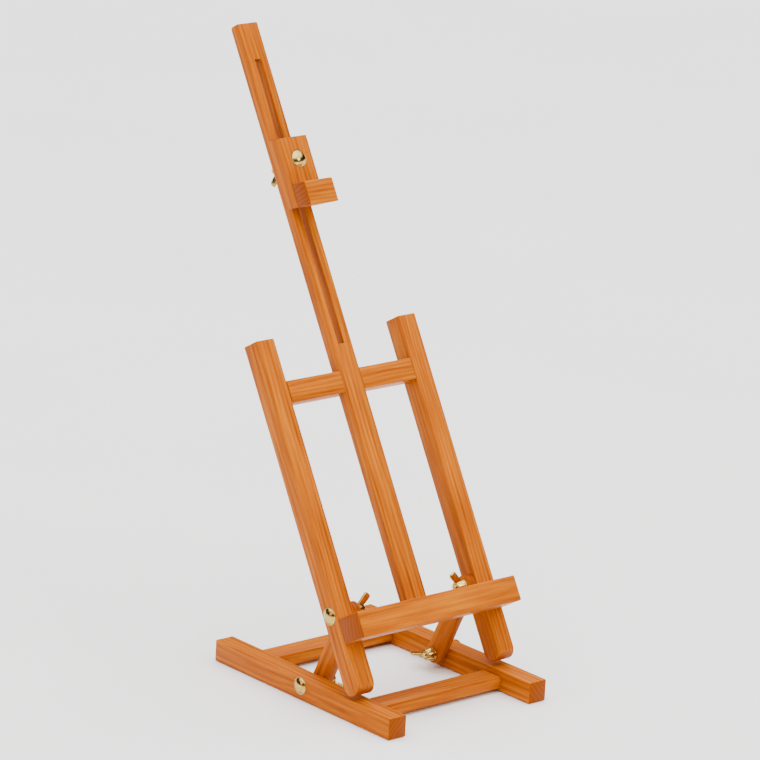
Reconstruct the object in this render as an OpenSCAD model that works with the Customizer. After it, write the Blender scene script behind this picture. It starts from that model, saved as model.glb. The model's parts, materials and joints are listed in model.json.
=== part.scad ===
// Folding tabletop easel in beech, with brass carriage bolts and wing nuts.
// +X is the easel's right as seen from the front, the front faces -Y, and +Z is up.
// The origin is on the table, at the middle of the whole easel's width and depth.

/* [Base] */
// Overall width, over the two side rails
base_width = 186; // [170:1:210]
// Length of a side rail, front to back
rail_length = 244; // [230:1:280]
// Square stock of the rails and uprights
stock = 20; // [20:0.5:22]
// Width of the two flat bars across the base
bar_width = 24; // [20:1:26]
// Thickness of the two flat bars across the base
bar_thickness = 11; // [9:0.5:11]
// Height of the flat bars' underside above the table
bar_lift = 3.5; // [2:0.5:4]
// From the rails' front ends to the front bar
front_bar_inset = 38; // [30:1:44]
// From the rails' back ends to the rear bar
rear_bar_inset = 32; // [20:1:40]

/* [Struts] */
// Distance between a strut's two bolt holes
strut_length = 84; // [83:0.5:86]
// Width of a strut
strut_width = 18; // [16:1:18]
// Thickness of a strut
strut_thickness = 9; // [8:0.5:10]
// Forward slope of the struts from the vertical
strut_slope = 25; // [24:0.5:26]
// Height of the lower bolts above the table
lower_bolt_height = 13; // [12.5:0.1:13]

/* [Leaning frame] */
// Backward lean of the uprights from the vertical
lean = 30; // [28:0.5:32]
// From the upper bolts up to the top of the uprights
upright_above = 252.5; // [245:0.5:270]
// From the upper bolts down to the rounded feet
upright_below = 73.5; // [70:0.5:74]
// From the upper bolts up to the crossbar's underside
crossbar_rise = 192.5; // [185:0.5:200]
// Height of the tray's front
tray_height = 23.5; // [20:0.5:26]
// Depth of the tray
tray_depth = 29; // [20:1:35]
// From the upper bolts down to the tray's top
tray_drop = 4.7; // [4.5:0.1:8]

/* [Mast] */
// Width of the mast
mast_width = 23; // [20:1:26]
// Thickness of the mast
mast_thickness = 11; // [9:0.5:12]
// From the upper bolts up to the top of the mast
mast_above = 542.5; // [530:0.5:560]
// Width of the slot in the mast
slot_width = 7; // [6.6:0.1:8]
// From the upper bolts up to the slot's lower end
slot_start = 237; // [236:1:260]
// From the upper bolts up to the slot's upper end
slot_end = 507.5; // [495:0.5:515]

/* [Clamp] */
// Width of the sliding clamp
clamp_width = 32.5; // [28:0.5:36]
// Thickness of the clamp's block
block_thickness = 16; // [14:0.5:18]
// How far the clamp's lip stands out from the block
lip_reach = 18; // [12:1:20]
// Height of the clamp's lip
lip_height = 23.5; // [18:0.5:26]
// Slope of the clamp's cut ends
clamp_rake = 10; // [0:1:12]
// From the upper bolts up to the clamp's bolt
clamp_height = 407.5; // [380:0.5:430]

/* [Hidden] */
$fn = 48;

// Finishes
beech = "#d18a30";
end_beech = "#b5691f";
brass = "#cdb062";
steel = "#b9bcc0";

// Eased edges of the wood
ease = 1.5;
foot_radius = stock / 2;
mast_end_ease = 3;

// M6 carriage bolts: shank, square neck and domed head
bolt_radius = 3;
bolt_clearance = 0.05;
// Play between a strut and the rail and upright beside it
strut_play = 0.1;
neck_side = 6;
neck_length = 4;
head_radius = 8;
head_height = 3.6;
tip_chamfer = 0.8;
bolt_length = 40;

// Washers and wing nuts
washer_radius = 6.5;
washer_thickness = 1.6;
nut_base_radius = 6;
nut_top_radius = 4.7;
nut_height = 7.5;
wing_thickness = 2.4;
wing_corner = 2;
// Each wing from its root to its tip, as [distance from the bolt's axis, height]
wing_root_low = [3.5, 1.2];
wing_root_high = [3.5, 7.2];
wing_heel = [5.8, 1.2];
wing_tip_low = [13.4, 10.2];
wing_tip_high = [10.9, 12.6];
lower_left_nut_turn = 40;
lower_right_nut_turn = -5;
clamp_nut_turn = 20;

// Dowels and wood screws
dowel_radius = 3;
dowel_length = 30;
dowel_in_side = 12;
screw_radius = 1.75;
screw_head_radius = 3.5;
screw_head_height = 2.2;
screw_point = 4;
cut = 1;

// Where things are
inner_x = base_width / 2 - stock;
strut_x = inner_x - strut_play;
pivot_reach = strut_length * sin(strut_slope);
pivot_rise = strut_length * cos(strut_slope);
// Depth from the rails' front ends to the mast's rounded top, whose middle is the origin
mast_back = mast_thickness - stock / 2;
top_reach = (mast_back - mast_end_ease) * cos(lean) + (mast_above - mast_end_ease) * sin(lean);
depth = rail_length / 2 - pivot_reach + top_reach + mast_end_ease;
front_y = -depth / 2;
lower_bolt_y = front_y + rail_length / 2;
pivot_y = lower_bolt_y - pivot_reach;
pivot_z = lower_bolt_height + pivot_rise;
block_top = clamp_height + 23.5;
block_bottom = clamp_height - 42;
lip_top = block_bottom + lip_height - 1;

// A rectangle from the origin, with rounded corners
module eased_rectangle(size, radius) {
    translate([radius, 0]) square([size[0] - 2 * radius, size[1]]);
    translate([0, radius]) square([size[0], size[1] - 2 * radius]);
    for (x = [radius, size[0] - radius], y = [radius, size[1] - radius])
        translate([x, y]) circle(radius);
}

// A bar along Z from z_low to z_high, with eased long edges, over x_low to x_high and y_low to y_high
module upright_bar(x_range, y_range, z_range) {
    translate([x_range[0], y_range[0], z_range[0]]) linear_extrude(z_range[1] - z_range[0])
        eased_rectangle([x_range[1] - x_range[0], y_range[1] - y_range[0]], ease);
}

// The same along X
module cross_bar(x_range, y_range, z_range) {
    translate([x_range[1], y_range[0], z_range[0]]) rotate([0, -90, 0])
        linear_extrude(x_range[1] - x_range[0])
            eased_rectangle([z_range[1] - z_range[0], y_range[1] - y_range[0]], ease);
}

// The same along Y
module long_bar(x_range, y_range, z_range) {
    translate([x_range[0], y_range[1], z_range[0]]) rotate([90, 0, 0])
        linear_extrude(y_range[1] - y_range[0])
            eased_rectangle([x_range[1] - x_range[0], z_range[1] - z_range[0]], ease);
}

// Turns +Z to point along +X, for what lies across the easel
module along_x() {
    rotate([0, 90, 0]) children();
}

// Puts a piece in the leaning frame: its origin is the upper bolts' axis, +Z runs up the uprights,
// and the uprights' front is at y = -stock / 2
module on_frame() {
    translate([0, pivot_y, pivot_z]) rotate([-lean, 0, 0]) children();
}

// Puts a piece that is drawn for the left side on the left or the right
module on_side(side) {
    if (side == "left") children();
    else mirror([1, 0, 0]) children();
}

// Carriage bolt along +Z: the head's underside is at z = 0 and the dome is below it
module carriage_bolt(length) {
    dome_radius = (head_radius * head_radius + head_height * head_height) / (2 * head_height);
    color(brass) {
        intersection() {
            translate([0, 0, dome_radius - head_height]) sphere(dome_radius, $fn = 96);
            translate([0, 0, -head_height - cut]) cylinder(h = head_height + cut, r = head_radius);
        }
        translate([-neck_side / 2, -neck_side / 2, 0]) cube([neck_side, neck_side, neck_length]);
        cylinder(h = length - tip_chamfer, r = bolt_radius);
        translate([0, 0, length - tip_chamfer])
            cylinder(h = tip_chamfer, r1 = bolt_radius, r2 = bolt_radius - tip_chamfer);
    }
}

// The hole for a carriage bolt, with a square pocket for its neck
module bolt_hole(length) {
    side = neck_side + 2 * bolt_clearance;
    translate([0, 0, -cut]) cylinder(h = length + 2 * cut, r = bolt_radius + bolt_clearance);
    translate([-side / 2, -side / 2, -cut]) cube([side, side, neck_length + cut]);
}

// Washer on z = 0
module washer() {
    color(brass) difference() {
        cylinder(h = washer_thickness, r = washer_radius);
        translate([0, 0, -cut]) cylinder(h = washer_thickness + 2 * cut, r = bolt_radius + bolt_clearance);
    }
}

// A wing's outline, drawn as the space round its root, heel and two rounded tip corners
module wing_outline() {
    polygon([wing_root_low, wing_heel, wing_tip_low + wing_corner * [0.66, -0.75],
        wing_tip_low + wing_corner * [0.69, 0.72], wing_tip_high + wing_corner * [0.69, 0.72],
        wing_tip_high + wing_corner * [-0.72, 0.69], wing_root_high]);
    for (corner = [wing_tip_low, wing_tip_high]) translate(corner) circle(wing_corner);
}

// Wing nut on z = 0, with its two wings along X
module wing_nut() {
    color(brass) difference() {
        union() {
            cylinder(h = nut_height, r1 = nut_base_radius, r2 = nut_top_radius);
            for (side = [0, 1]) mirror([side, 0, 0]) rotate([90, 0, 0])
                translate([0, 0, -wing_thickness / 2]) linear_extrude(wing_thickness) wing_outline();
        }
        translate([0, 0, -cut]) cylinder(h = nut_height + 2 * cut, r = bolt_radius + bolt_clearance);
    }
}

// Countersunk wood screw along +Z, its head flush with z = 0
module wood_screw(length) {
    cylinder(h = screw_head_height, r1 = screw_head_radius, r2 = screw_radius);
    cylinder(h = length - screw_point, r = screw_radius);
    translate([0, 0, length - screw_point])
        cylinder(h = screw_point, r1 = screw_radius, r2 = 0.3);
}

// Where the dowels stand in the base: centres on the left rail's inner face
function bar_y(bar) = bar == "front" ? front_y + front_bar_inset
    : front_y + rail_length - rear_bar_inset - bar_width;
dowel_spots = [for (bar = ["front", "rear"], side = [-1, 1])
    [bar_y(bar) + bar_width / 2 + side * bar_width / 4, bar_lift + bar_thickness / 2]];

// The dowels at both ends of the base bars
module base_dowel_set() {
    for (end = ["left", "right"], spot = dowel_spots) on_side(end)
        translate([-inner_x - dowel_in_side, spot[0], spot[1]]) along_x()
            cylinder(h = dowel_length, r = dowel_radius);
}

// Side rail of the base, drawn for the left
module base_rail(side) {
    color(beech) on_side(side) difference() {
        long_bar([-base_width / 2, -inner_x], [front_y, front_y + rail_length], [0, stock]);
        translate([-base_width / 2, lower_bolt_y, lower_bolt_height]) along_x() bolt_hole(stock);
        base_dowel_set();
    }
}

// Flat bar across the base
module base_bar(bar) {
    color(beech) difference() {
        cross_bar([-inner_x, inner_x], [bar_y(bar), bar_y(bar) + bar_width],
            [bar_lift, bar_lift + bar_thickness]);
        base_dowel_set();
    }
}

module base_dowels() {
    color(end_beech) base_dowel_set();
}

// What the lower bolts carry stands inside the strut
module lower_bolt(side) {
    on_side(side) translate([-base_width / 2, lower_bolt_y, lower_bolt_height]) along_x()
        carriage_bolt(bolt_length);
}

module lower_washer(side) {
    on_side(side) translate([-strut_x + strut_thickness, lower_bolt_y, lower_bolt_height]) along_x()
        washer();
}

// Each lower nut was tightened to where it stopped: the turn is how far its back wing is above level
module lower_wing_nut(side) {
    turn = side == "left" ? lower_left_nut_turn : lower_right_nut_turn;
    on_side(side)
        translate([-strut_x + strut_thickness + washer_thickness, lower_bolt_y, lower_bolt_height])
            along_x() rotate([0, 0, 90 + turn]) wing_nut();
}

// Strut inside the rail and the upright, with round ends
module strut(side) {
    color(beech) on_side(side)
        translate([-strut_x, lower_bolt_y, lower_bolt_height]) rotate([strut_slope, 0, 0]) along_x()
            difference() {
                linear_extrude(strut_thickness) {
                    translate([-strut_length, -strut_width / 2]) square([strut_length, strut_width]);
                    for (end = [0, strut_length]) translate([-end, 0]) circle(strut_width / 2);
                }
                for (end = [0, strut_length]) translate([-end, 0, -cut])
                    cylinder(h = strut_thickness + 2 * cut, r = bolt_radius + bolt_clearance);
            }
}

// The dowels at both ends of the top crossbar
module crossbar_dowel_set() {
    for (end = ["left", "right"], side = [-1, 1]) on_side(end)
        translate([-inner_x - dowel_in_side, 0, crossbar_rise + stock / 2 + side * stock / 4]) along_x()
            cylinder(h = dowel_length, r = dowel_radius);
}

// Screws from the back of each upright into the tray
module tray_screw_set() {
    for (x = [-1, 1]) translate([x * (base_width / 2 - stock / 2), stock / 2, -tray_drop - tray_height / 2])
        rotate([90, 0, 0]) wood_screw(stock + tray_depth / 2);
}

// Screws from the back of the crossbar into the mast, and from the back of the mast into the tray
module mast_screw_set() {
    for (side = [-1, 1]) translate([side * mast_width / 4, stock / 2, crossbar_rise + stock / 2])
        rotate([90, 0, 0]) wood_screw(stock - 2.5);
    translate([0, mast_back, -tray_drop - tray_height / 2])
        rotate([90, 0, 0]) wood_screw(mast_thickness + tray_depth / 2);
}

// Upright with a round foot, drawn for the left
module upright(side) {
    foot_z = foot_radius - upright_below;
    color(beech) on_frame() on_side(side) difference() {
        union() {
            upright_bar([-base_width / 2, -inner_x], [-stock / 2, stock / 2], [foot_z, upright_above]);
            translate([-base_width / 2, 0, foot_z]) along_x() cylinder(h = stock, r = foot_radius, $fn = 96);
        }
        translate([-base_width / 2, 0, 0]) along_x() bolt_hole(stock);
        crossbar_dowel_set();
        tray_screw_set();
    }
}

// Crossbar near the top of the uprights, notched for the mast
module top_crossbar() {
    color(beech) on_frame() difference() {
        cross_bar([-inner_x, inner_x], [-stock / 2, stock / 2], [crossbar_rise, crossbar_rise + stock]);
        translate([-mast_width / 2, -stock / 2 - cut, crossbar_rise - cut])
            cube([mast_width, mast_thickness + cut, stock + 2 * cut]);
        crossbar_dowel_set();
        mast_screw_set();
    }
}

module crossbar_dowels() {
    color(end_beech) on_frame() crossbar_dowel_set();
}

// Mast behind the tray and through the crossbar, with a long slot and eased back corners
module mast() {
    foot_z = -tray_drop - tray_height + 5;
    color(beech) on_frame() difference() {
        intersection() {
            upright_bar([-mast_width / 2, mast_width / 2], [-stock / 2, mast_back], [foot_z, mast_above]);
            translate([-mast_width / 2 - cut, 0, 0]) along_x() linear_extrude(mast_width + 2 * cut)
                mast_side_outline(foot_z);
        }
        translate([-slot_width / 2, -stock / 2 - cut, slot_start])
            cube([slot_width, mast_thickness + 2 * cut, slot_end - slot_start]);
        mast_screw_set();
    }
}

// The mast from the side, with x down the mast and y towards its back
module mast_side_outline(foot_z) {
    front = -stock / 2 - cut;
    translate([-mast_above, front]) square([mast_above - foot_z, mast_back - mast_end_ease - front]);
    translate([-mast_above + mast_end_ease, front])
        square([mast_above - foot_z - mast_end_ease, mast_back - front]);
    translate([-mast_above + mast_end_ease, mast_back - mast_end_ease]) circle(mast_end_ease);
}

module mast_screws() {
    color(steel) on_frame() mast_screw_set();
}

// Ledge for the canvas, across the front of both uprights
module tray() {
    color(beech) on_frame() difference() {
        cross_bar([-base_width / 2, base_width / 2], [-stock / 2 - tray_depth, -stock / 2],
            [-tray_drop - tray_height, -tray_drop]);
        tray_screw_set();
        mast_screw_set();
    }
}

module tray_screws() {
    color(steel) on_frame() tray_screw_set();
}

module upper_bolt(side) {
    on_frame() on_side(side) translate([-base_width / 2, 0, 0]) along_x() carriage_bolt(bolt_length);
}

module upper_washer(side) {
    on_frame() on_side(side) translate([-strut_x + strut_thickness, 0, 0]) along_x() washer();
}

// The upper nuts' wings point up and down
module upper_wing_nut(side) {
    on_frame() on_side(side) translate([-strut_x + strut_thickness + washer_thickness, 0, 0])
        along_x() rotate([0, 0, lean]) wing_nut();
}

// Screws from the back of the clamp's block into its lip
module clamp_lip_screw_set() {
    for (side = [-1, 1]) translate([side * clamp_width / 3.4, -stock / 2, block_bottom + lip_height / 2])
        rotate([90, 0, 0]) wood_screw(block_thickness + lip_reach - 5);
}

// A slice of the clamp between two depths in front of the mast, its ends cut on the rake
module raked_slice(depth_range, z_range) {
    fall = [for (d = depth_range) d * tan(clamp_rake)];
    translate([clamp_width / 2, -stock / 2, 0]) rotate([0, -90, 0]) linear_extrude(clamp_width)
        polygon([[z_range[0] - fall[0], -depth_range[0]], [z_range[1] - fall[0], -depth_range[0]],
            [z_range[1] - fall[1], -depth_range[1]], [z_range[0] - fall[1], -depth_range[1]]]);
}

// Eases the clamp's two long front edges
module eased_front(depth, z_range) {
    intersection() {
        children();
        translate([-clamp_width / 2, -stock / 2 - depth, z_range[0]])
            linear_extrude(z_range[1] - z_range[0]) {
            translate([0, ease]) square([clamp_width, depth]);
            translate([ease, 0]) square([clamp_width - 2 * ease, depth]);
            for (x = [ease, clamp_width - ease]) translate([x, ease]) circle(ease);
        }
    }
}

module clamp_block() {
    z_range = [block_bottom - stock, block_top + stock];
    color(beech) on_frame() difference() {
        eased_front(block_thickness, z_range)
            raked_slice([0, block_thickness], [block_bottom, block_top]);
        translate([0, -stock / 2 - block_thickness, clamp_height]) rotate([-90, 0, 0])
            bolt_hole(block_thickness);
        clamp_lip_screw_set();
    }
}

module clamp_lip() {
    z_range = [block_bottom - stock, block_top];
    color(beech) on_frame() difference() {
        eased_front(block_thickness + lip_reach, z_range)
            raked_slice([block_thickness, block_thickness + lip_reach], [block_bottom, lip_top]);
        clamp_lip_screw_set();
    }
}

module clamp_lip_screws() {
    color(steel) on_frame() clamp_lip_screw_set();
}

module clamp_bolt() {
    on_frame() translate([0, -stock / 2 - block_thickness, clamp_height]) rotate([-90, 0, 0])
        carriage_bolt(bolt_length);
}

module clamp_washer() {
    on_frame() translate([0, mast_back, clamp_height]) rotate([-90, 0, 0]) washer();
}

// The clamp's nut stands behind the mast, one wing down it and a little to the left
module clamp_wing_nut() {
    on_frame() translate([0, mast_back + washer_thickness, clamp_height]) rotate([-90, 0, 0])
        rotate([0, 0, 90 + clamp_nut_turn]) wing_nut();
}

base_rail("left");  // base_rail_left
base_rail("right");  // base_rail_right
base_bar("front");  // base_bar_front
base_bar("rear");  // base_bar_rear
base_dowels();
lower_bolt("left");  // lower_bolt_left
lower_bolt("right");  // lower_bolt_right
lower_washer("left");  // lower_washer_left
lower_washer("right");  // lower_washer_right
lower_wing_nut("left");  // lower_wing_nut_left
lower_wing_nut("right");  // lower_wing_nut_right
strut("left");  // strut_left
strut("right");  // strut_right
upright("left");  // upright_left
upright("right");  // upright_right
top_crossbar();
crossbar_dowels();
mast();
mast_screws();
tray();
tray_screws();
upper_bolt("left");  // upper_bolt_left
upper_bolt("right");  // upper_bolt_right
upper_washer("left");  // upper_washer_left
upper_washer("right");  // upper_washer_right
upper_wing_nut("left");  // upper_wing_nut_left
upper_wing_nut("right");  // upper_wing_nut_right
clamp_block();
clamp_lip();
clamp_lip_screws();
clamp_bolt();
clamp_washer();
clamp_wing_nut();
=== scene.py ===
# %% [markdown]
# # A tabletop easel
#
# A small folding easel of lacquered beech, held together with brass carriage bolts and wing nuts.
# The engineering model is loaded first. It gives every piece its place, and the bodies that move.
# The steps that follow model the timber and the hardware again with the detail that the eye expects:
# eased edges, grain that runs along each stick, threads, and cast wings on the nuts.

# %% Load the engineering model
import json
from math import cos, pi, radians, sin, tan

import bpy
import numpy as np
from mathutils import Matrix, Vector


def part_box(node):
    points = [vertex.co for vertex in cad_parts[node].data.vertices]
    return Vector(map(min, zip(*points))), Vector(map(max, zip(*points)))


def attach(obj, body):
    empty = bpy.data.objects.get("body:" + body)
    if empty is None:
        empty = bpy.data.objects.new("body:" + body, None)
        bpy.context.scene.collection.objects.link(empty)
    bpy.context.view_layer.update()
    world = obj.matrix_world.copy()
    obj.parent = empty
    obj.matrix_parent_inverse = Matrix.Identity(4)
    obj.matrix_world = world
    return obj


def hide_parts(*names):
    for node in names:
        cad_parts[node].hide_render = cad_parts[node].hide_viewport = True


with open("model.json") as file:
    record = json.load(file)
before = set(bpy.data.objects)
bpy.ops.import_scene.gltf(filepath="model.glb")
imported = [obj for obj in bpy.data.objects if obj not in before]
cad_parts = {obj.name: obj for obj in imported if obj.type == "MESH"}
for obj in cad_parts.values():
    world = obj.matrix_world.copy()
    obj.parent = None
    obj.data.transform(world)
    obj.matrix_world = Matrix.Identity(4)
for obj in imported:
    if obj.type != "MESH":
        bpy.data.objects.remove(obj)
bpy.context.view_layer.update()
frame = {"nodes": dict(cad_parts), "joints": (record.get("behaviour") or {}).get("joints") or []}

# %% [markdown]
# ## Where things are
#
# The easel has three directions of timber. The base is level, the frame leans back, and the struts
# lean forward. The pivots come from the joints, so a piece is modelled upright about its own pivot
# and then turned into its place. Lengths below are millimetres, and `MM` turns them to metres.

# %% Sizes and pivots
MM = 0.001
LEAN = radians(30)
STRUT_SLOPE = radians(25)
STOCK = 20
FRONT, BACK = -STOCK / 2, STOCK / 2
BASE_WIDTH = 186
OUTER = BASE_WIDTH / 2
INNER = OUTER - STOCK
PLAY = 0.1
STRUT_X = INNER - PLAY
STRUT_WIDTH = 18
STRUT_THICKNESS = 9
BOLT_LENGTH = 40
# Each side with the sign of its x, and the direction in which its bolts point
SIDES = (("left", -1, "+x"), ("right", 1, "-x"))


def pivot(name):
    """A joint's place, moved sideways to the middle of the easel."""
    spot = next(joint["pos_m"] for joint in frame["joints"] if joint["name"] == name)
    return Vector((0, spot[1], spot[2]))


low_pivot = pivot("left_strut_pivot")
top_pivot = pivot("frame_pivot")
low_y, low_z = low_pivot.y / MM, low_pivot.z / MM
leaning = Matrix.Translation(top_pivot) @ Matrix.Rotation(-LEAN, 4, "X")
sloping = Matrix.Translation(low_pivot) @ Matrix.Rotation(STRUT_SLOPE, 4, "X")
level = Matrix.Identity(4)
print("lower bolts at", [round(v, 4) for v in low_pivot])
print("upper bolts at", [round(v, 4) for v in top_pivot])


def in_mm(*values):
    """A vector in metres from lengths in millimetres."""
    return Vector(values) * MM


# %% [markdown]
# ## Selecting
#
# Every operator acts on all that is selected, and the loaded model comes in selected. So one small
# helper leaves a single object selected, and another picks edges by where they are.

# %% Selection helpers
def only(piece):
    """Leaves one object selected and active."""
    if bpy.context.mode != "OBJECT":
        bpy.ops.object.mode_set(mode="OBJECT")
    bpy.ops.object.select_all(action="DESELECT")
    piece.select_set(True)
    bpy.context.view_layer.objects.active = piece
    return piece


def pick(piece, edges=None, faces=None):
    """Goes into edit mode with only the edges, or the faces, that a test accepts."""
    only(piece)
    bpy.ops.object.mode_set(mode="EDIT")
    bpy.ops.mesh.select_mode(type="EDGE" if edges else "FACE")
    bpy.ops.mesh.select_all(action="DESELECT")
    bpy.ops.object.mode_set(mode="OBJECT")
    mesh = piece.data
    if edges:
        for edge in mesh.edges:
            edge.select = edges(*(mesh.vertices[i].co / MM for i in edge.vertices))
    else:
        for face in mesh.polygons:
            face.select = faces(face.center / MM, face.normal)
    bpy.ops.object.mode_set(mode="EDIT")


def done():
    bpy.ops.object.mode_set(mode="OBJECT")


# %% [markdown]
# ## Nodes and colours
#
# Colours are written as the hex values that a paint chart or a screen gives. Blender's shaders work
# in linear light, so one function converts them. One more adds a node with its settings and links.

# %% Colour and node helpers
def linear(hex_colour):
    """A shader colour from an sRGB hex value."""
    parts = [int(hex_colour[i : i + 2], 16) / 255 for i in (1, 3, 5)]
    return [p / 12.92 if p <= 0.04045 else ((p + 0.055) / 1.055) ** 2.4 for p in parts] + [1]


def add(material, kind, inputs=None, **settings):
    """Adds a node. An input is a value, or another node's output to link from."""
    tree = material.node_tree
    node = tree.nodes.new("ShaderNode" + kind)
    for name, value in settings.items():
        setattr(node, name, value)
    for name, value in (inputs or {}).items():
        socket = node.inputs[name]
        if isinstance(value, bpy.types.NodeSocket):
            tree.links.new(value, socket)
        else:
            socket.default_value = value
    return node


def new_material(name, **surface):
    """An empty material with one surface shader, its plain values set on the shader itself."""
    material = bpy.data.materials.new(name)
    material.use_nodes = True
    shader = material.node_tree.nodes["Principled BSDF"]
    for socket, value in surface.items():
        shader.inputs[socket.replace("_", " ")].default_value = value
    return material, shader


def ramp(material, factor, *stops):
    """A colour ramp from (position, hex colour) stops."""
    node = add(material, "ValToRGB", {"Fac": factor})
    elements = node.color_ramp.elements
    while len(elements) < len(stops):
        elements.new(0.5)
    for element, (position, colour) in zip(elements, stops):
        element.position = position
        element.color = linear(colour) if isinstance(colour, str) else [colour] * 3 + [1]
    return node.outputs["Color"]


# %% [markdown]
# ## Beech under golden lacquer
#
# The timber is steamed beech under an amber lacquer, sprayed on and rubbed down to a soft shine.
# Beech is plain and even: growth rings about 3 to 5 mm apart that run as long faint stripes, fine
# fibres, and the short dark flecks that give it away. End grain drinks more lacquer and goes darker.
#
# The rings are drawn in the stick's own space, so that each stick carries its grain with it when the
# easel folds. Two attributes carry that: `grain` is the place inside the plank it was sawn from, in
# millimetres with its third number along the fibres, and `end_grain` is 1 on a sawn end.

# %% Beech material
def make_beech(name, pale, mid, dark, end_colour, end_pale):
    beech, shader = new_material(name, IOR=1.5)
    # The lacquer is amber all through, so even its shine is warm
    shader.inputs["Specular IOR Level"].default_value = 0.14
    shader.inputs["Specular Tint"].default_value = linear("#E8842C")
    place = add(beech, "Attribute", attribute_name="grain").outputs["Vector"]
    end = add(beech, "Attribute", attribute_name="end_grain").outputs["Fac"]

    def stretched(across, along):
        """The grain's place, scaled by features per millimetre across and along the fibres."""
        size = (across, across, along)
        return add(beech, "Mapping", {"Vector": place, "Scale": size}).outputs["Vector"]

    def noise(space, detail, roughness):
        look = {"Vector": space, "Scale": 1.0, "Detail": detail, "Roughness": roughness}
        return add(beech, "TexNoise", look).outputs

    # Slow waves along the stick bend the rings, as a tree's own growth does
    waver = noise(stretched(0.03, 0.006), 2.0, 0.5)["Color"]
    bend = add(beech, "VectorMath", {0: waver, "Scale": 12.0}, operation="SCALE").outputs["Vector"]
    bent = add(beech, "VectorMath", {0: place, 1: bend}, operation="ADD").outputs["Vector"]
    # A ring wave repeats every 0.314 / scale, so this is a ring about every 4 mm
    rings = add(
        beech,
        "TexWave",
        {"Vector": bent, "Scale": 0.08, "Distortion": 1.5, "Detail": 2.0, "Detail Scale": 0.05},
        wave_type="RINGS",
        rings_direction="Z",
    ).outputs["Fac"]

    # Streaks 3 mm wide and 90 mm long, then fibres half a millimetre wide and 20 mm long
    streaks = noise(stretched(0.3, 0.011), 4.0, 0.6)["Fac"]
    fibres = noise(stretched(1.9, 0.05), 3.0, 0.65)["Fac"]

    # Ray flecks: short dark lenses in cells 0.9 by 6 mm, strongest at the middle of each cell
    cell_look = {"Vector": stretched(1.1, 0.16), "Scale": 1.0}
    cells = add(beech, "TexVoronoi", cell_look).outputs["Distance"]
    flecks = ramp(beech, cells, (0.0, 0.3), (0.16, 0.18), (0.3, 0.0))

    # The tone is mostly streaks, with a little of the fibres and less of the rings
    tone = add(beech, "Math", {0: rings, 1: 0.13}, operation="MULTIPLY").outputs["Value"]
    for part, share in ((streaks, 0.8), (fibres, 0.25)):
        mixed = add(beech, "Math", {0: part, 1: share, 2: tone}, operation="MULTIPLY_ADD")
        tone = mixed.outputs["Value"]
    side = ramp(beech, tone, (0.38, pale), (0.58, mid), (0.85, dark))
    flecked = add(beech, "Mix", {0: flecks, 6: side, 7: linear(dark)}, data_type="RGBA").outputs[2]
    # Sawn ends show the rings as arcs, a little paler between them
    arcs = ramp(beech, rings, (0.2, end_colour), (0.9, end_pale))
    ended = add(beech, "Mix", {0: end, 6: flecked, 7: arcs}, data_type="RGBA").outputs[2]
    beech.node_tree.links.new(ended, shader.inputs["Base Color"])

    shine = {"Value": streaks, "From Min": 0.3, "From Max": 0.7, "To Min": 0.36, "To Max": 0.5}
    rough = add(beech, "MapRange", shine).outputs["Result"]
    beech.node_tree.links.new(rough, shader.inputs["Roughness"])
    height = add(beech, "Math", {0: fibres, 1: flecks}, operation="SUBTRACT").outputs["Value"]
    bump = add(beech, "Bump", {"Height": height, "Strength": 0.18, "Distance": 0.0002})
    beech.node_tree.links.new(bump.outputs["Normal"], shader.inputs["Normal"])
    return beech


beech = make_beech("beech, amber lacquer", "#C47208", "#AF5904", "#7E3702", "#803804", "#8C4206")
print("made", beech.name)

# %% [markdown]
# ## Brass-plated steel and zinc
#
# The bolts and nuts are steel with a bright brass plating: nearly a mirror, softened by fine wear and
# finger marks. A metal's colour is its reflection, so the base colour is brass's own and the default
# IOR is kept. The wood screws are zinc plated, greyer and duller.

# %% Metal materials
def make_plating(name, colour, worn, smooth, rough):
    metal, shader = new_material(name, Metallic=1.0)
    place = add(metal, "TexCoord").outputs["Object"]
    # Smears about 3 mm across, and a fine grit of a quarter of a millimetre
    smears = add(metal, "TexNoise", {"Vector": place, "Scale": 330.0, "Detail": 3.0}).outputs["Fac"]
    grit = add(metal, "TexNoise", {"Vector": place, "Scale": 4000.0, "Detail": 1.0}).outputs["Fac"]
    tint = ramp(metal, smears, (0.35, colour), (0.72, worn))
    metal.node_tree.links.new(tint, shader.inputs["Base Color"])
    wear = {"Value": smears, "From Min": 0.3, "From Max": 0.75, "To Min": smooth, "To Max": rough}
    rub = add(metal, "MapRange", wear).outputs["Result"]
    metal.node_tree.links.new(rub, shader.inputs["Roughness"])
    bump = add(metal, "Bump", {"Height": grit, "Strength": 0.06, "Distance": 0.00005})
    metal.node_tree.links.new(bump.outputs["Normal"], shader.inputs["Normal"])
    return metal


brass = make_plating("brass plating, bright", "#D2B56A", "#A6853F", 0.12, 0.26)
zinc = make_plating("zinc plating, dull", "#C4C6C8", "#A3A6A9", 0.3, 0.5)
print("made", brass.name, "and", zinc.name)


# %% [markdown]
# ## Sawing a stick
#
# Every wooden piece starts as a block at its size. Its shaped corners are bevelled first, then all
# its sharp edges are eased, as a few strokes of sandpaper do. A bevel in edit mode is used, not a
# modifier, because the two need different edges and widths.
#
# The block is modelled in its own upright space, so `finish` first writes the grain from there, and
# only then turns the piece into its place.

# %% Timber helpers
def block(name, low, high):
    """A block from its low corner to its high corner, in millimetres."""
    size = [h - l for l, h in zip(low, high)]
    middle = [(h + l) / 2 for l, h in zip(low, high)]
    bpy.ops.mesh.primitive_cube_add(size=MM, location=in_mm(*middle))
    piece = bpy.context.object
    piece.name = piece.data.name = name
    only(piece)
    piece.scale = size
    bpy.ops.object.transform_apply(location=True, rotation=True, scale=True)
    return piece


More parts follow.
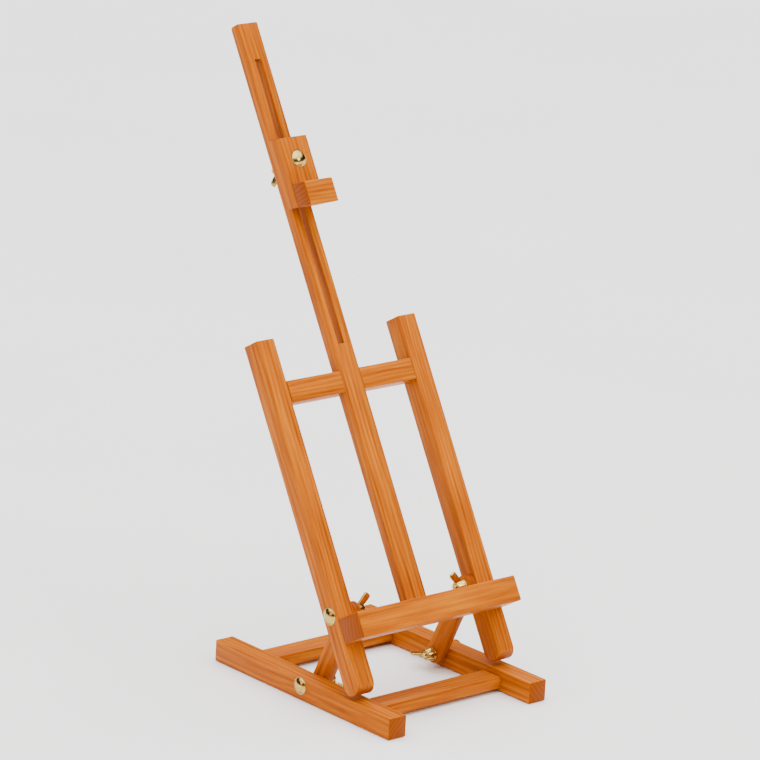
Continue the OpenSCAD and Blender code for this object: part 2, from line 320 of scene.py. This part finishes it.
def round_over(piece, radius, steps, edges):
    """Bevels the edges that a test on their two ends accepts."""
    pick(piece, edges=edges)
    bpy.ops.mesh.bevel(offset=radius * MM, segments=steps, affect="EDGES", clamp_overlap=False)
    # Two bevels that meet leave a sliver between them, so what lies together is merged
    bpy.ops.mesh.select_all(action="SELECT")
    bpy.ops.mesh.remove_doubles(threshold=0.05 * MM)
    done()


def ease(piece, radius=1.1, steps=3, sharper_than=40):
    """Eases every edge that is sharper than an angle."""
    only(piece)
    bpy.ops.object.mode_set(mode="EDIT")
    bpy.ops.mesh.select_mode(type="EDGE")
    bpy.ops.mesh.select_all(action="DESELECT")
    bpy.ops.mesh.edges_select_sharp(sharpness=radians(sharper_than))
    bpy.ops.mesh.bevel(offset=radius * MM, segments=steps, affect="EDGES")
    bpy.ops.mesh.select_all(action="SELECT")
    bpy.ops.mesh.remove_doubles(threshold=0.01 * MM)
    done()


def cut_away(piece, cutter):
    """Takes the cutter's shape out of the piece, and throws the cutter away."""
    only(piece)
    cut = piece.modifiers.new("cut", "BOOLEAN")
    cut.operation = "DIFFERENCE"
    cut.solver = "EXACT"
    cut.object = cutter
    bpy.ops.object.modifier_apply(modifier=cut.name)
    bpy.data.objects.remove(cutter, do_unlink=True)


def smooth(piece, angle=35):
    only(piece)
    bpy.ops.object.shade_smooth_by_angle(angle=radians(angle))


sawn = 0


def finish(piece, place, along, material=beech):
    """Writes the grain of a finished stick, gives it its material and turns it into its place."""
    global sawn
    sawn += 1
    axis = "xyz".index(along)
    order = [(axis + 1) % 3, (axis + 2) % 3, axis]
    # Each stick comes from another part of the tree: 30 to 60 mm from its heart, and further along
    heart = np.array([34 + 5.7 * (sawn * 3 % 5), 21 - 7.3 * (sawn * 2 % 7), 410.0 * sawn])
    mesh = piece.data
    points = np.zeros(len(mesh.vertices) * 3)
    mesh.vertices.foreach_get("co", points)
    grain = points.reshape(-1, 3)[:, order] / MM + heart
    mesh.attributes.new("grain", "FLOAT_VECTOR", "POINT").data.foreach_set("vector", grain.ravel())
    sawn_end = [min(1.0, max(0.0, 2.2 * abs(face.normal[axis]) - 0.9)) for face in mesh.polygons]
    mesh.attributes.new("end_grain", "FLOAT", "FACE").data.foreach_set("value", sawn_end)
    mesh.materials.clear()
    mesh.materials.append(material)
    smooth(piece)
    piece.matrix_world = place
    only(piece)
    bpy.ops.object.transform_apply(location=True, rotation=True, scale=True)
    return piece


# %% [markdown]
# ## Drawing a turned piece
#
# A lathe makes anything round from half of its outline. The outline is drawn here as a chain of
# points, each extruded from the last, and spun round Z. The same tool makes bolt heads, washers, the
# hubs of the nuts, wood screws, and the drills for every hole.

# %% Turning helper
def draw(name, outline, y=0):
    """Draws a chain of edges through (x, z) points in millimetres, and stays in edit mode."""
    bpy.ops.mesh.primitive_plane_add(size=MM)
    piece = bpy.context.object
    piece.name = piece.data.name = name
    only(piece)
    bpy.ops.object.mode_set(mode="EDIT")
    bpy.ops.mesh.select_mode(type="VERT")
    bpy.ops.mesh.select_all(action="SELECT")
    bpy.ops.mesh.merge(type="CENTER")
    bpy.ops.transform.translate(value=in_mm(outline[0][0], y, outline[0][1]))
    for (x0, z0), (x1, z1) in zip(outline, outline[1:]):
        step = in_mm(x1 - x0, 0, z1 - z0)
        bpy.ops.mesh.extrude_region_move(TRANSFORM_OT_translate={"value": step})
    bpy.ops.mesh.select_all(action="SELECT")
    return piece


def turned(name, outline, steps=48):
    """Spins an outline of (radius, height) points in millimetres round Z."""
    piece = draw(name, outline)
    bpy.ops.mesh.spin(steps=steps, angle=2 * pi, center=(0, 0, 0), axis=(0, 0, 1))
    bpy.ops.mesh.select_all(action="SELECT")
    bpy.ops.mesh.remove_doubles(threshold=0.002 * MM)
    bpy.ops.mesh.normals_make_consistent(inside=False)
    done()
    return piece


def drill(piece, outline, place):
    """Makes a hole with a turned cutter, placed by a matrix."""
    cutter = turned("drill", outline, 32)
    cutter.matrix_world = place
    bpy.context.view_layer.update()
    cut_away(piece, cutter)


def axis_to(place, spot, direction, roll=0):
    """A matrix that carries +Z to a direction at a spot in millimetres, with a roll about it."""
    turn = {
        "+x": Matrix.Rotation(pi / 2, 4, "Y"),
        "-x": Matrix.Rotation(-pi / 2, 4, "Y"),
        "+y": Matrix.Rotation(-pi / 2, 4, "X"),
        "-y": Matrix.Rotation(pi / 2, 4, "X"),
    }[direction]
    return place @ Matrix.Translation(in_mm(*spot)) @ turn @ Matrix.Rotation(radians(roll), 4, "Z")


# A clearance hole for an M6 bolt, and a hole for a 3.5 mm screw with its countersink
BOLT_DRILL = [(0, -1), (3.05, -1), (3.05, 21), (0, 21)]
COUNTERSINK = [(0, -1), (3.55, -1), (3.55, 0.03), (1.75, 2.2)]
SCREW_DRILL = COUNTERSINK + [(1.75, 12), (0, 13)]
SHORT_SCREW_DRILL = COUNTERSINK + [(1.75, 8), (0, 8)]

# %% [markdown]
# ## The base
#
# Two square rails stand on the table, and two thinner bars are dowelled between them, a little above
# it. The grain of the rails runs front to back, and that of the bars runs across. A carriage bolt
# passes through the middle of each rail, so each gets its hole.

# %% Base rails and bars
pieces = []


def keep(piece, body, *nodes, slot="beech"):
    """Hangs the piece on the body that it rides on, hides the engineering parts that it stands for, and
    adds it to the pieces.
    """
    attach(piece, body)
    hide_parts(*nodes)
    pieces.append(piece)


for side, sign, inward in SIDES:
    node = "base_rail_" + side
    low, high = (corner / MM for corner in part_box(node))
    rail = block("rail_" + side, low, high)
    ease(rail, 1.2)
    drill(rail, BOLT_DRILL, axis_to(level, (sign * OUTER, low_y, low_z), inward))
    keep(finish(rail, level, "y"), "base", node)

for name in ("front", "rear"):
    node = "base_bar_" + name
    low, high = (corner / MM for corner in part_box(node))
    bar = block("bar_" + name, low, high)
    ease(bar, 1.0)
    keep(finish(bar, level, "x"), "base", node)
print("base pieces:", [piece.name for piece in pieces])

# %% [markdown]
# ## The struts
#
# A strut is a flat stick with a full round at each end, so that it can turn about its bolts without
# a corner showing. The round ends are bevels as wide as half the stick.

# %% Struts
STRUT_LENGTH = (top_pivot - low_pivot).length / MM
ROUND = STRUT_WIDTH / 2
for side, sign, inward in SIDES:
    left_x, right_x = sorted((sign * STRUT_X, sign * (STRUT_X - STRUT_THICKNESS)))
    strut = block("side_strut_" + side, (left_x, -ROUND, -ROUND), (right_x, ROUND, STRUT_LENGTH + ROUND))
    round_over(strut, ROUND, 12, lambda a, b: abs(a.x - b.x) > 1)
    ease(strut, 0.8, 2, 60)
    for height in (0, STRUT_LENGTH):
        drill(strut, BOLT_DRILL, axis_to(level, (sign * (INNER + 1), 0, height), inward))
    keep(finish(strut, sloping, "z"), side + "_strut", "strut_" + side)
print("strut between bolts:", round(STRUT_LENGTH, 2), "mm")

# %% [markdown]
# ## The uprights
#
# Each upright is square stock with a half-round foot, cut so that it clears the rail as the frame
# folds. The top is sawn square. The tray's screws go in from behind, and their heads sit flush.

# %% Uprights
UPRIGHT_TOP = 252.5
UPRIGHT_FOOT = -73.5
TRAY_TOP = -4.7
TRAY_HEIGHT = 23.5
TRAY_DEPTH = 29
tray_middle = TRAY_TOP - TRAY_HEIGHT / 2
upright_middle = (OUTER + INNER) / 2
for side, sign, inward in SIDES:
    left_x, right_x = sorted((sign * OUTER, sign * INNER))
    upright = block("side_upright_" + side, (left_x, FRONT, UPRIGHT_FOOT), (right_x, BACK, UPRIGHT_TOP))
    round_over(upright, STOCK / 2, 14, lambda a, b: abs(a.x - b.x) > 1 and a.z < 0)
    ease(upright, 1.2, 3, 60)
    drill(upright, BOLT_DRILL, axis_to(level, (sign * OUTER, 0, 0), inward))
    drill(upright, SCREW_DRILL, axis_to(level, (sign * upright_middle, BACK, tray_middle), "-y"))
    keep(finish(upright, leaning, "z"), "leaning_frame", "upright_" + side)
print("uprights from", UPRIGHT_FOOT, "to", UPRIGHT_TOP, "mm about the upper bolts")

# %% [markdown]
# ## Crossbar, mast and tray
#
# The crossbar is halved for the mast, so both are flush in front. The mast is a thin flat stick with
# a slot for the clamp's bolt: a long narrow hole is easiest as a cut with a block. Its top back edge
# is rounded. The tray is one solid bar across the front of both uprights.

# %% Crossbar
CROSSBAR_FOOT = 192.5
CROSSBAR_TOP = CROSSBAR_FOOT + STOCK
MAST_WIDTH = 23
MAST_THICKNESS = 11
MAST_FOOT = -23.2
MAST_TOP = 542.5
SLOT = (237, 507.5)
SLOT_WIDTH = 7
PAST = 2  # how far a cutter stands out of what it cuts
cross_middle = CROSSBAR_FOOT + STOCK / 2
mast_half = MAST_WIDTH / 2
mast_back = FRONT + MAST_THICKNESS
crossbar = block("crossbar", (-INNER, FRONT, CROSSBAR_FOOT), (INNER, BACK, CROSSBAR_TOP))
ease(crossbar, 1.1)
low = (-mast_half - 0.05, FRONT - PAST, CROSSBAR_FOOT - PAST)
high = (mast_half + 0.05, mast_back + 0.02, CROSSBAR_TOP + PAST)
cut_away(crossbar, block("halving", low, high))
for x in (-mast_half / 2, mast_half / 2):
    drill(crossbar, SHORT_SCREW_DRILL, axis_to(level, (x, BACK, cross_middle), "-y"))
keep(finish(crossbar, leaning, "x"), "leaning_frame", "top_crossbar")

# %% Mast
mast = block("slotted_mast", (-mast_half, FRONT, MAST_FOOT), (mast_half, mast_back, MAST_TOP))
round_over(mast, 2.9, 6, lambda a, b: abs(a.x - b.x) > 1 and a.z > 0 and a.y > 0)
low = (-SLOT_WIDTH / 2, FRONT - PAST, SLOT[0])
high = (SLOT_WIDTH / 2, mast_back + PAST, SLOT[1])
cut_away(mast, block("slot", low, high))
ease(mast, 0.7, 2, 60)
drill(mast, SCREW_DRILL, axis_to(level, (0, mast_back, tray_middle), "-y"))
keep(finish(mast, leaning, "z"), "leaning_frame", "mast")
print("mast", MAST_TOP - MAST_FOOT, "mm long, slot", SLOT[1] - SLOT[0], "mm")

# %% Tray
low = (-OUTER, FRONT - TRAY_DEPTH, TRAY_TOP - TRAY_HEIGHT)
tray = block("picture_tray", low, (OUTER, FRONT, TRAY_TOP))
ease(tray, 1.2)
keep(finish(tray, leaning, "x"), "leaning_frame", "tray")

# %% [markdown]
# ## The clamp
#
# The clamp is a block that slides on the mast and a lip glued and screwed to its foot. Both are cut
# across at a slight rake, so that the lip bites on the edge of a canvas. A block becomes raked when
# its front face is pushed straight down.

# %% Clamp block and lip
CLAMP_WIDTH = 32.5
BLOCK_THICKNESS = 16
LIP_REACH = 18
LIP_HEIGHT = 23.5
CLAMP_BOLT = 407.5
RAKE = tan(radians(10))
block_foot = CLAMP_BOLT - 42
block_top = CLAMP_BOLT + 23.5
lip_top = block_foot + LIP_HEIGHT - 1
lip_middle = block_foot + LIP_HEIGHT / 2
lip_screw_x = CLAMP_WIDTH / 3.4
GAP = 0.03  # so that the clamp's faces don't lie in the mast's


def raked(name, near, far, low, high):
    """A raked block between two depths in front of the mast and two heights at the mast."""
    piece = block(name, (-CLAMP_WIDTH / 2, FRONT - far, low), (CLAMP_WIDTH / 2, FRONT - near, high))
    pick(piece, faces=lambda middle, normal: normal.y < -0.5)
    bpy.ops.transform.translate(value=in_mm(0, 0, (near - far) * RAKE))
    done()
    only(piece)
    # A piece that starts in front of the mast starts lower too, so that the rake runs on
    piece.location.z = -near * RAKE * MM
    bpy.ops.object.transform_apply(location=True, rotation=True, scale=True)
    return piece


clamp_block = raked("sliding_block", GAP, BLOCK_THICKNESS, block_foot, block_top)
ease(clamp_block, 1.0)
drill(clamp_block, BOLT_DRILL, axis_to(level, (0, FRONT - BLOCK_THICKNESS, CLAMP_BOLT), "+y"))
for x in (-lip_screw_x, lip_screw_x):
    drill(clamp_block, SCREW_DRILL, axis_to(level, (x, FRONT, lip_middle), "-y"))
keep(finish(clamp_block, leaning, "z"), "clamp", "clamp_block")
clamp_lip = raked("sliding_lip", BLOCK_THICKNESS, BLOCK_THICKNESS + LIP_REACH, block_foot, lip_top)
ease(clamp_lip, 1.0)
keep(finish(clamp_lip, leaning, "x"), "clamp", "clamp_lip")
print("clamp pieces:", clamp_block.name, clamp_lip.name)

# %% [markdown]
# ## Carriage bolts
#
# A carriage bolt has a wide low dome, a square neck that bites into the wood, and a thread that
# sticks out of the nut. The dome is turned from an arc. The thread is one ridge, which a Screw
# modifier winds up the core by a millimetre a turn. The bolt is modelled once and copied five times.

# %% Carriage bolt
HEAD_RADIUS = 8
HEAD_HEIGHT = 3.6
SHANK_RADIUS = 2.98
CORE_RADIUS = 2.58
PITCH = 1
THREAD_FROM = 16


def put(name, pattern, place, body, node, slot="brass"):
    """A copy of a modelled piece, turned into its place."""
    piece = pattern.copy()
    piece.data = pattern.data.copy()
    piece.name = piece.data.name = name
    bpy.context.collection.objects.link(piece)
    piece.matrix_world = place
    only(piece)
    bpy.ops.object.transform_apply(location=True, rotation=True, scale=True)
    keep(piece, body, node, slot=slot)


def joined(name, *parts):
    """Makes one object of several."""
    only(parts[0])
    for part in parts:
        part.select_set(True)
    bpy.ops.object.join()
    parts[0].name = parts[0].data.name = name
    return parts[0]


def carriage_bolt():
    dome = (HEAD_RADIUS**2 + HEAD_HEIGHT**2) / (2 * HEAD_HEIGHT)
    widest = radians(76)
    arc = []
    for step in range(13):
        angle = widest * step / 12
        arc.append((dome * sin(angle), dome * (1 - cos(angle)) - HEAD_HEIGHT))
    arc = [point for point in arc if point[0] < HEAD_RADIUS - 0.4]
    insets = ((0.12, -0.62), (0, -0.35), (0.1, -0.1), (0.3, 0))
    rim = [(HEAD_RADIUS - inset, height) for inset, height in insets]
    head = turned("head", [(0, -HEAD_HEIGHT)] + arc[1:] + rim + [(0, 0)], 64)
    neck = block("neck", (-3, -3, -0.2), (3, 3, 4))
    ease(neck, 0.3, 2)
    shank = [(0, 0), (SHANK_RADIUS, 0), (SHANK_RADIUS, THREAD_FROM)]
    shank.append((CORE_RADIUS, THREAD_FROM + 0.5))
    tip = [(CORE_RADIUS, BOLT_LENGTH - 0.6), (2.1, BOLT_LENGTH), (0, BOLT_LENGTH)]
    core = turned("core", shank + tip, 32)
    # The ridge's outline, its root inside the core and its crest nearly as wide as the shank
    tooth = [(2.5, 0), (2.96, 0.43), (2.96, 0.55), (2.5, 0.98), (2.5, 0)]
    ridge = draw("ridge", [(r, z + THREAD_FROM) for r, z in tooth])
    done()
    wind = ridge.modifiers.new("thread", "SCREW")
    wind.steps = wind.render_steps = 24
    wind.screw_offset = PITCH * MM
    wind.iterations = int((BOLT_LENGTH - 1.4 - THREAD_FROM) / PITCH)
    wind.use_merge_vertices = True
    wind.merge_threshold = 0.001 * MM
    bpy.ops.object.modifier_apply(modifier=wind.name)
    bpy.ops.object.mode_set(mode="EDIT")
    bpy.ops.mesh.select_all(action="SELECT")
    bpy.ops.mesh.remove_doubles(threshold=0.002 * MM)
    bpy.ops.mesh.fill_holes(sides=0)
    bpy.ops.mesh.normals_make_consistent(inside=False)
    done()
    bolt = joined("carriage_bolt", head, neck, core, ridge)
    bolt.data.materials.clear()
    bolt.data.materials.append(brass)
    smooth(bolt, 32)
    return bolt


bolt = carriage_bolt()
for side, sign, inward in SIDES:
    place = axis_to(level, (sign * OUTER, low_y, low_z), inward)
    put("bolt_lower_" + side, bolt, place, "base", "lower_bolt_" + side)
for side, sign, inward in SIDES:
    place = axis_to(leaning, (sign * OUTER, 0, 0), inward)
    put("bolt_upper_" + side, bolt, place, "leaning_frame", "upper_bolt_" + side)
place = axis_to(leaning, (0, FRONT - BLOCK_THICKNESS, CLAMP_BOLT), "+y")
put("bolt_clamp", bolt, place, "clamp", "clamp_bolt")
print("bolt faces:", len(bolt.data.polygons))
bpy.data.objects.remove(bolt, do_unlink=True)

# %% [markdown]
# ## Washers
#
# A stamped washer has one soft edge and one that is nearly sharp. It is turned from a small closed
# outline.

# %% Washers
WASHER_THICKNESS = 1.6
washer_outline = [(3.1, 0), (6.4, 0), (6.5, 0.1), (6.5, 1.2), (6.38, 1.5), (6.1, WASHER_THICKNESS)]
washer_outline += [(3.4, WASHER_THICKNESS), (3.1, 1.35), (3.1, 0)]
washer = turned("washer", washer_outline, 48)
washer.data.materials.append(brass)
smooth(washer, 40)
strut_face = STRUT_X - STRUT_THICKNESS
for side, sign, inward in SIDES:
    place = axis_to(level, (sign * strut_face, low_y, low_z), inward)
    put("washer_lower_" + side, washer, place, "base", "lower_washer_" + side)
for side, sign, inward in SIDES:
    place = axis_to(leaning, (sign * strut_face, 0, 0), inward)
    put("washer_upper_" + side, washer, place, "leaning_frame", "upper_washer_" + side)
place = axis_to(leaning, (0, mast_back + GAP, CLAMP_BOLT), "+y")
put("washer_clamp", washer, place, "clamp", "clamp_washer")
bpy.data.objects.remove(washer, do_unlink=True)

# %% [markdown]
# ## Wing nuts
#
# A wing nut is cast: a round hub that narrows upwards, and two flat wings that spread as they rise.
# Each wing is drawn as an outline, given its thickness by extruding, and its edges are rounded. Hub
# and wings are then united into one closed skin.

# %% Wing nut
WING_THICKNESS = 2.4
# The hub from its bore round and back, the wing from its root along the lower edge and back
HUB = [(3.1, 0.4), (3.5, 0), (5.7, 0), (6.0, 0.3), (5.9, 0.9), (4.9, 6.7), (4.5, 7.3), (4.1, 7.5)]
HUB += [(3.5, 7.5), (3.1, 7.1), (3.1, 0.4)]
WING = [(3.5, 1.2), (5.8, 1.2), (10.2, 5.0), (14.7, 8.7), (15.35, 9.8), (15.2, 10.95)]
WING += [(13.0, 13.75), (12.0, 14.5), (10.9, 14.6), (9.5, 13.95), (6.2, 10.6), (3.5, 7.2)]


def wing():
    """One wing in the XZ plane, from the hub to its tip."""
    piece = draw("wing", WING, -WING_THICKNESS / 2)
    bpy.ops.mesh.edge_face_add()
    bpy.ops.mesh.extrude_region_move(TRANSFORM_OT_translate={"value": in_mm(0, WING_THICKNESS, 0)})
    bpy.ops.mesh.select_all(action="SELECT")
    bpy.ops.mesh.normals_make_consistent(inside=False)
    done()
    ease(piece, 0.7, 3, 60)
    return piece


def unite(piece, other):
    only(piece)
    union = piece.modifiers.new("union", "BOOLEAN")
    union.operation = "UNION"
    union.solver = "EXACT"
    union.object = other
    bpy.ops.object.modifier_apply(modifier=union.name)
    bpy.data.objects.remove(other, do_unlink=True)


def wing_nut():
    nut = turned("wing_nut", HUB, 40)
    first = wing()
    second = first.copy()
    second.data = first.data.copy()
    bpy.context.collection.objects.link(second)
    second.rotation_euler.z = pi
    bpy.context.view_layer.update()
    unite(nut, first)
    unite(nut, second)
    nut.data.materials.clear()
    nut.data.materials.append(brass)
    smooth(nut, 40)
    return nut


nut = wing_nut()
nut_face = strut_face - WASHER_THICKNESS
# Each nut was tightened to where it stopped, so each has its own turn about its bolt, in degrees
LOWER_TURN = {"left": 130, "right": 95}
UPPER_TURN = {"left": 30, "right": -30}
CLAMP_TURN = 110
for side, sign, inward in SIDES:
    place = axis_to(level, (sign * nut_face, low_y, low_z), inward, LOWER_TURN[side])
    put("nut_lower_" + side, nut, place, f"lower_{side}_nut", "lower_wing_nut_" + side)
for side, sign, inward in SIDES:
    place = axis_to(leaning, (sign * nut_face, 0, 0), inward, UPPER_TURN[side])
    put("nut_upper_" + side, nut, place, f"upper_{side}_nut", "upper_wing_nut_" + side)
place = axis_to(leaning, (0, mast_back + WASHER_THICKNESS, CLAMP_BOLT), "+y", CLAMP_TURN)
put("nut_clamp", nut, place, "clamp_nut", "clamp_wing_nut")
print("wing nut faces:", len(nut.data.polygons))
bpy.data.objects.remove(nut, do_unlink=True)

# %% [markdown]
# ## Wood screws
#
# The screws hold the tray, the mast and the lip from behind. Only the flat heads show, each with a
# cross recess, sunk flush in the wood. The rest of each screw is buried, at its true length.

# %% Wood screws
def wood_screw(length):
    """A screw with a flat head at its origin, its point up Z, and a cross recess in the head."""
    head = [(0, 0.02), (3.4, 0.02), (3.45, 0.12), (1.7, 2.2)]
    screw = turned("wood_screw", head + [(1.7, length - 3), (0.3, length), (0, length)], 40)
    for turn in (20, 110):
        arm = block("arm", (-1.9, -0.45, -1), (1.9, 0.45, 1.4))
        arm.rotation_euler.z = radians(turn)
        bpy.context.view_layer.update()
        cut_away(screw, arm)
    screw.data.materials.clear()
    screw.data.materials.append(zinc)
    smooth(screw, 35)
    return screw


def screw_set(name, body, node, *screws):
    """Several screws as one piece, each with its length and its spot, driven towards the front."""
    driven = []
    for length, *spot in screws:
        screw = wood_screw(length)
        # No two screws stop at the same turn
        screw.matrix_world = axis_to(leaning, spot, "-y", 17 * len(driven))
        only(screw)
        bpy.ops.object.transform_apply(location=True, rotation=True, scale=True)
        driven.append(screw)
    keep(joined(name, *driven), body, node, slot="zinc_steel")


# Every screw stops inside the piece that it holds
tray_screw = STOCK + TRAY_DEPTH / 2
crossbar_screw = STOCK - 2.5
mast_screw = MAST_THICKNESS + TRAY_DEPTH / 2
lip_screw = BLOCK_THICKNESS + LIP_REACH - 5
screw_set(
    "screws_tray",
    "leaning_frame",
    "tray_screws",
    (tray_screw, -upright_middle, BACK, tray_middle),
    (tray_screw, upright_middle, BACK, tray_middle),
)
screw_set(
    "screws_mast",
    "leaning_frame",
    "mast_screws",
    (crossbar_screw, -mast_half / 2, BACK, cross_middle),
    (crossbar_screw, mast_half / 2, BACK, cross_middle),
    (mast_screw, 0, mast_back, tray_middle),
)
screw_set(
    "screws_clamp",
    "clamp",
    "clamp_lip_screws",
    (lip_screw, -lip_screw_x, FRONT, lip_middle),
    (lip_screw, lip_screw_x, FRONT, lip_middle),
)

# %% [markdown]
# ## What stays from the engineering model
#
# The dowels are buried in their joints, so their plain shapes stay. They still get a real finish.

# %% Materials on the hidden pieces
dowel_wood, dowel_shader = new_material("beech dowel, bare", Roughness=0.6)
dowel_place = add(dowel_wood, "TexCoord").outputs["Object"]
# Fibres about a millimetre wide and 17 mm long, across the easel as the dowels are
fibre_scale = (60, 900, 900)
dowel_space = add(dowel_wood, "Mapping", {"Vector": dowel_place, "Scale": fibre_scale})
fibre_look = {"Vector": dowel_space.outputs["Vector"], "Scale": 1.0, "Detail": 3.0}
dowel_grain = add(dowel_wood, "TexNoise", fibre_look).outputs["Fac"]
dowel_colour = ramp(dowel_wood, dowel_grain, (0.35, "#D2A06A"), (0.7, "#B07840"))
dowel_wood.node_tree.links.new(dowel_colour, dowel_shader.inputs["Base Color"])
for node in ("base_dowels", "crossbar_dowels"):
    mesh = frame["nodes"][node].data
    mesh.materials.clear()
    mesh.materials.append(dowel_wood)
print("kept:", ["base_dowels", "crossbar_dowels"])

# %% [markdown]
# ## The studio
#
# The easel stands on a plain pale floor under soft light. A softbox in front models the faces, and a
# weak warm one on the left keeps the side faces golden. The rest comes from a bright ceiling.

# %% Floor, lights and camera
bpy.ops.mesh.primitive_plane_add(size=40, location=(0, 0, -0.0005))
floor = bpy.context.object
floor.name = "floor"
paper, paper_shader = new_material("studio paper, white", Roughness=0.9)
paper_place = add(paper, "TexCoord").outputs["Object"]
paper_look = {"Vector": paper_place, "Scale": 3.0, "Detail": 2.0}
paper_tone = add(paper, "TexNoise", paper_look).outputs["Fac"]
paper_colour = ramp(paper, paper_tone, (0.3, "#F7F7F7"), (0.7, "#FAFAFA"))
paper.node_tree.links.new(paper_colour, paper_shader.inputs["Base Color"])
floor.data.materials.append(paper)


def softbox(name, spot, target, size, power, colour):
    light = bpy.data.lights.new(name, "AREA")
    light.shape = "DISK"
    light.size = size
    light.energy = power
    light.color = linear(colour)[:3]
    lamp = bpy.data.objects.new(name, light)
    lamp.location = spot
    lamp.rotation_euler = (Vector(target) - Vector(spot)).to_track_quat("-Z", "Y").to_euler()
    bpy.context.collection.objects.link(lamp)


softbox("key", (0.5, -3.0, 2.0), (0, 0, 0.25), 1.4, 42, "#FFF4E4")
softbox("side", (-2.8, 0.2, 1.1), (0, 0, 0.25), 1.0, 12, "#FFA050")

# The room is dark at eye level and bright overhead: an even floor, and a dark line in the brass
world = bpy.data.worlds.new("studio")
world.use_nodes = True
heading = add(world, "TexCoord").outputs["Generated"]
height = add(world, "SeparateXYZ", {"Vector": heading}).outputs["Z"]
ceiling = {"Value": height, "From Min": 0.4, "From Max": 0.8, "To Min": 0.04, "To Max": 4.2}
brightness = add(world, "MapRange", ceiling).outputs["Result"]
backdrop = world.node_tree.nodes["Background"]
world.node_tree.links.new(brightness, backdrop.inputs["Strength"])
backdrop.inputs["Color"].default_value = linear("#FFFFFF")
bpy.context.scene.world = world

camera = bpy.data.cameras.new("camera")
camera.sensor_width = 36
camera.lens = 213.394
camera.clip_end = 100
eye = bpy.data.objects.new("camera", camera)
eye.location = (-2.54695, -2.93505, 1.40232)
eye.rotation_euler = [radians(turn) for turn in (73.74107, -2.82172, -40.4908)]
bpy.context.collection.objects.link(eye)
bpy.context.scene.camera = eye
